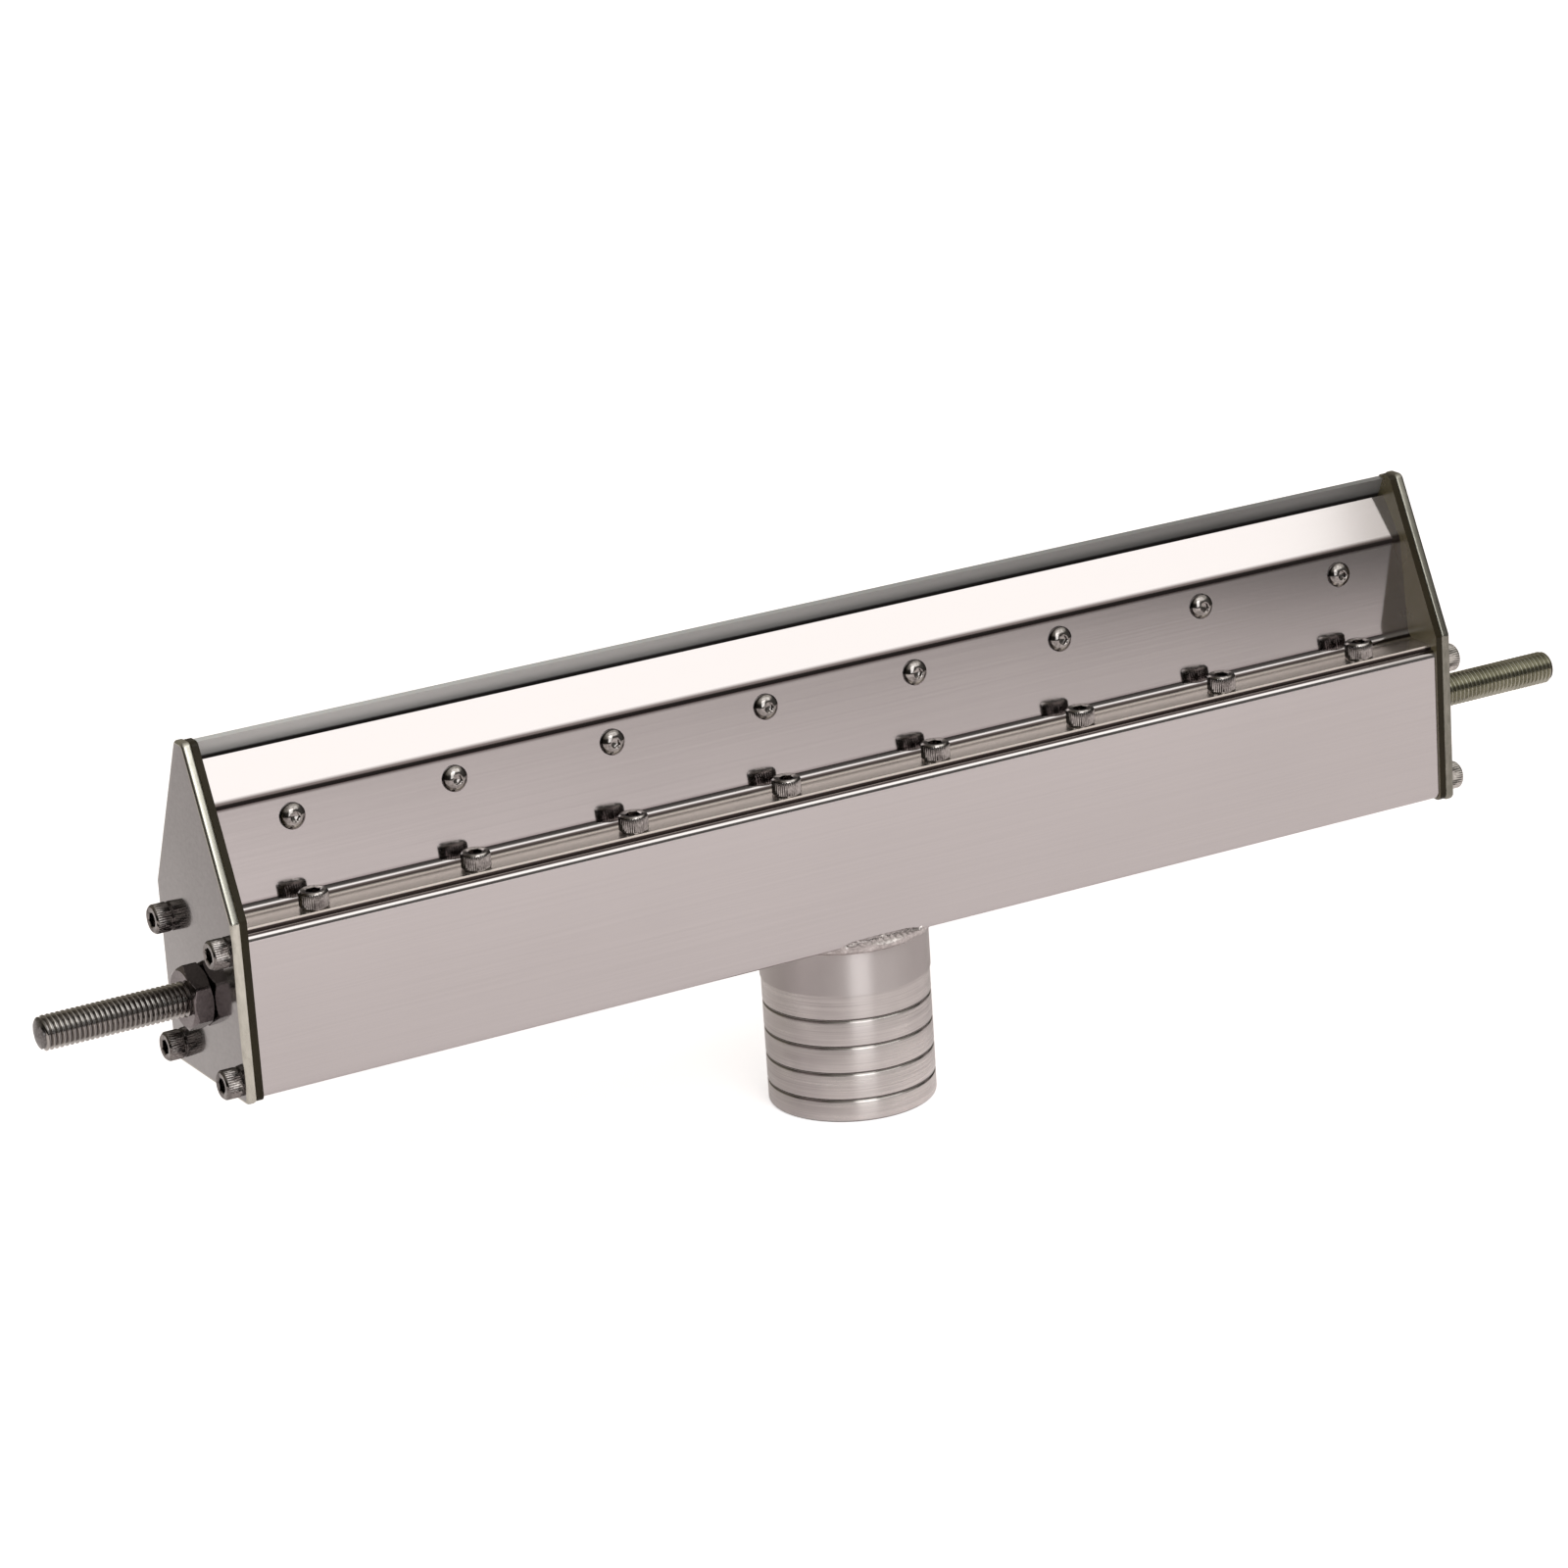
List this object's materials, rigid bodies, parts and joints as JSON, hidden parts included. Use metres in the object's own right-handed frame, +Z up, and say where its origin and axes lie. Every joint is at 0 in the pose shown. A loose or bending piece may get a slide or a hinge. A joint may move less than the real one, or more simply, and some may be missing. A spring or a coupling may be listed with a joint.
{
  "type": "air knife",
  "caption": "Long folded stainless plenum with a slot nozzle along its top, end plates on gaskets, a grooved hose spigot underneath and a threaded mounting stud at each end.",
  "frame": {"origin": "middle of the spigot's open end", "axes": "X runs along the knife to the right end seen from the front, -Y is the front with the screwed nozzle plate, Z is up towards the slot"},
  "size_m": [0.5117, 0.0554, 0.1527],
  "materials": {
    "folded_sheet": "bright stainless sheet, fine brushing along the length",
    "end_plate": "bright stainless plate with polished rounded rim",
    "turned_tube": "turned stainless, fine rings around the axis",
    "weld_bead": "brushed stainless weld with small ripples",
    "cap_screw": "bright stainless, knurled heads",
    "button_screw": "bright stainless, smooth domed heads",
    "threaded_rod": "bright stainless thread",
    "nut": "bright stainless hexagon nut",
    "inner_bar": "plain machined stainless, hidden inside",
    "gasket": "dark semi-gloss elastomer sheet"
  },
  "bodies": {
    "root": {"plenum_shell": "folded_sheet", "nozzle_plate": "folded_sheet", "inlet_spigot": "turned_tube", "inlet_weld": "weld_bead", "flange_bar": "inner_bar", "tie_posts": "inner_bar", "foot_screws": "cap_screw", "lip_screws": "button_screw", "end_plate_left": "end_plate", "end_plate_right": "end_plate", "end_gasket_left": "gasket", "end_gasket_right": "gasket", "corner_blocks_left": "inner_bar", "corner_blocks_right": "inner_bar", "plate_screws_left": "cap_screw", "plate_screws_right": "cap_screw", "stud_left": "threaded_rod", "stud_right": "threaded_rod", "outer_nut_left": "nut", "outer_nut_right": "nut", "inner_nut_left": "nut", "inner_nut_right": "nut"}
  },
  "joints": []
}
